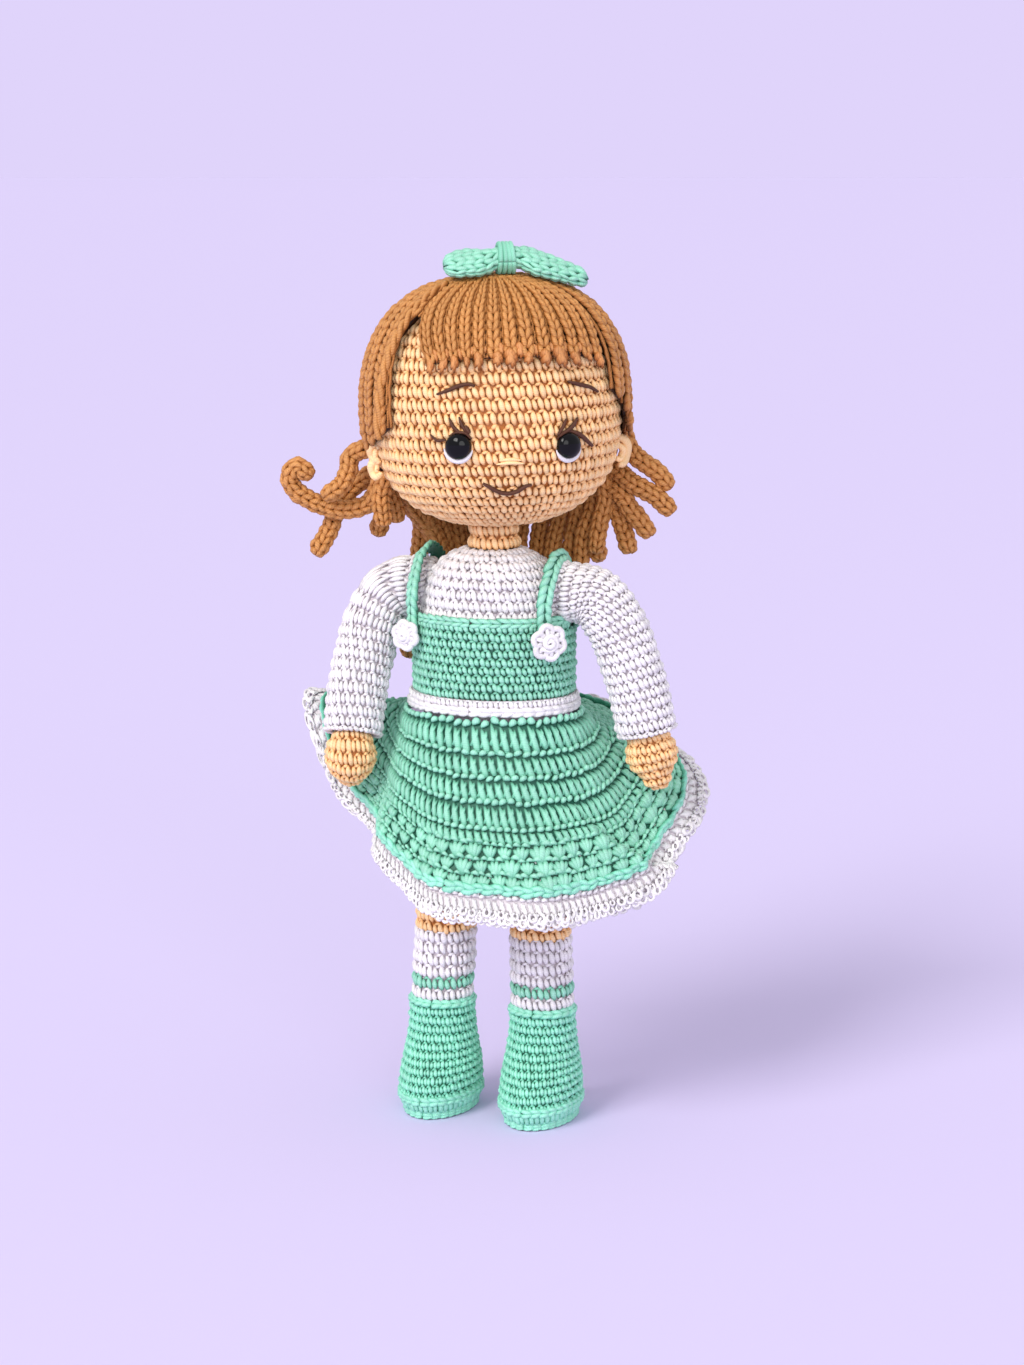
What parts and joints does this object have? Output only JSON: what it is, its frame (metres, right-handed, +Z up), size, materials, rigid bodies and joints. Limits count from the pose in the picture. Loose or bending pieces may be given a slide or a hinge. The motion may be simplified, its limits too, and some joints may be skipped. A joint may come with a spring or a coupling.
{
  "type": "doll",
  "caption": "Crocheted, stuffed standing doll with a layered dress, boots, hair locks and a bow, whose head turns and whose arms and legs swing.",
  "frame": {"origin": "on the floor under the middle of the doll's bounding box", "axes": "+Z up, -Y toward the viewer of the picture; the face looks along -Y turned 7.5 degrees to +X, and the body is turned 20 degrees to -X"},
  "size_m": [0.1415, 0.1019, 0.297],
  "materials": {
    "skin_yarn": "matte cotton yarn",
    "hair_yarn": "soft sheen plied yarn",
    "mint_yarn": "soft sheen plied yarn",
    "white_yarn": "matte cotton yarn",
    "dark_thread": "matte embroidery thread",
    "black_eye": "polished dome",
    "fibre_fill": "loose polyester fibre",
    "clear_washer": "moulded washer",
    "birch_wood": "plain sanded dowel",
    "insole_sheet": "stiff cut sheet"
  },
  "bodies": {
    "torso": {"torso_shell": "white_yarn", "torso_stuffing": "fibre_fill", "neck": "skin_yarn", "neck_dowel": "birch_wood", "dress_bodice": "mint_yarn", "dress_belt": "white_yarn", "dress_skirt": "mint_yarn", "petticoat": "white_yarn", "strap_left": "mint_yarn", "strap_right": "mint_yarn", "rosette_left": "white_yarn", "rosette_right": "white_yarn"},
    "head": {"head_shell": "skin_yarn", "head_stuffing": "fibre_fill", "eye_left": "black_eye", "eye_right": "black_eye", "eye_washer_left": "clear_washer", "eye_washer_right": "clear_washer", "eye_white_left": "white_yarn", "eye_white_right": "white_yarn", "lashes_left": "dark_thread", "lashes_right": "dark_thread", "eyebrow_left": "dark_thread", "eyebrow_right": "dark_thread", "ear_left": "skin_yarn", "ear_right": "skin_yarn", "nose": "skin_yarn", "mouth": "dark_thread", "wig_cap": "hair_yarn", "fringe": "hair_yarn", "side_hair_left": "hair_yarn", "side_hair_right": "hair_yarn", "bow": "mint_yarn", "bow_wrap": "mint_yarn", "lock_left_1": "hair_yarn", "lock_left_2": "hair_yarn", "lock_left_3": "hair_yarn", "lock_left_4": "hair_yarn", "lock_left_5": "hair_yarn", "lock_right_1": "hair_yarn", "lock_right_2": "hair_yarn", "lock_right_3": "hair_yarn", "lock_right_4": "hair_yarn", "lock_back_1": "hair_yarn", "lock_back_2": "hair_yarn"},
    "arm_left": {"sleeve_left": "white_yarn", "hand_left": "skin_yarn"},
    "arm_right": {"sleeve_right": "white_yarn", "hand_right": "skin_yarn"},
    "leg_left": {"leg_left": "skin_yarn", "sock_left": "white_yarn", "shoe_left": "mint_yarn", "sole_left": "mint_yarn", "insole_left": "insole_sheet"},
    "leg_right": {"leg_right": "skin_yarn", "sock_right": "white_yarn", "shoe_right": "mint_yarn", "sole_right": "mint_yarn", "insole_right": "insole_sheet"}
  },
  "joints": [
    {"name": "head_turn", "type": "hinge", "parent": "torso", "child": "head", "pos_m": [0, 0, 0.2015], "axis": [0, 0, 1], "range_deg": [-15, 15]},
    {"name": "shoulder_left", "type": "hinge", "parent": "torso", "child": "arm_left", "pos_m": [0.02396, -0.00872, 0.18], "axis": [-0.9397, 0.342, 0], "range_deg": [-5, 95]},
    {"name": "shoulder_right", "type": "hinge", "parent": "torso", "child": "arm_right", "pos_m": [-0.02396, 0.00872, 0.18], "axis": [-0.9397, 0.342, 0], "range_deg": [0, 95]},
    {"name": "hip_left", "type": "hinge", "parent": "torso", "child": "leg_left", "pos_m": [0.01428, -0.0052, 0.104], "axis": [-0.9397, 0.342, 0], "range_deg": [-20, 40]},
    {"name": "hip_right", "type": "hinge", "parent": "torso", "child": "leg_right", "pos_m": [-0.01428, 0.0052, 0.104], "axis": [-0.9397, 0.342, 0], "range_deg": [-20, 40]}
  ]
}
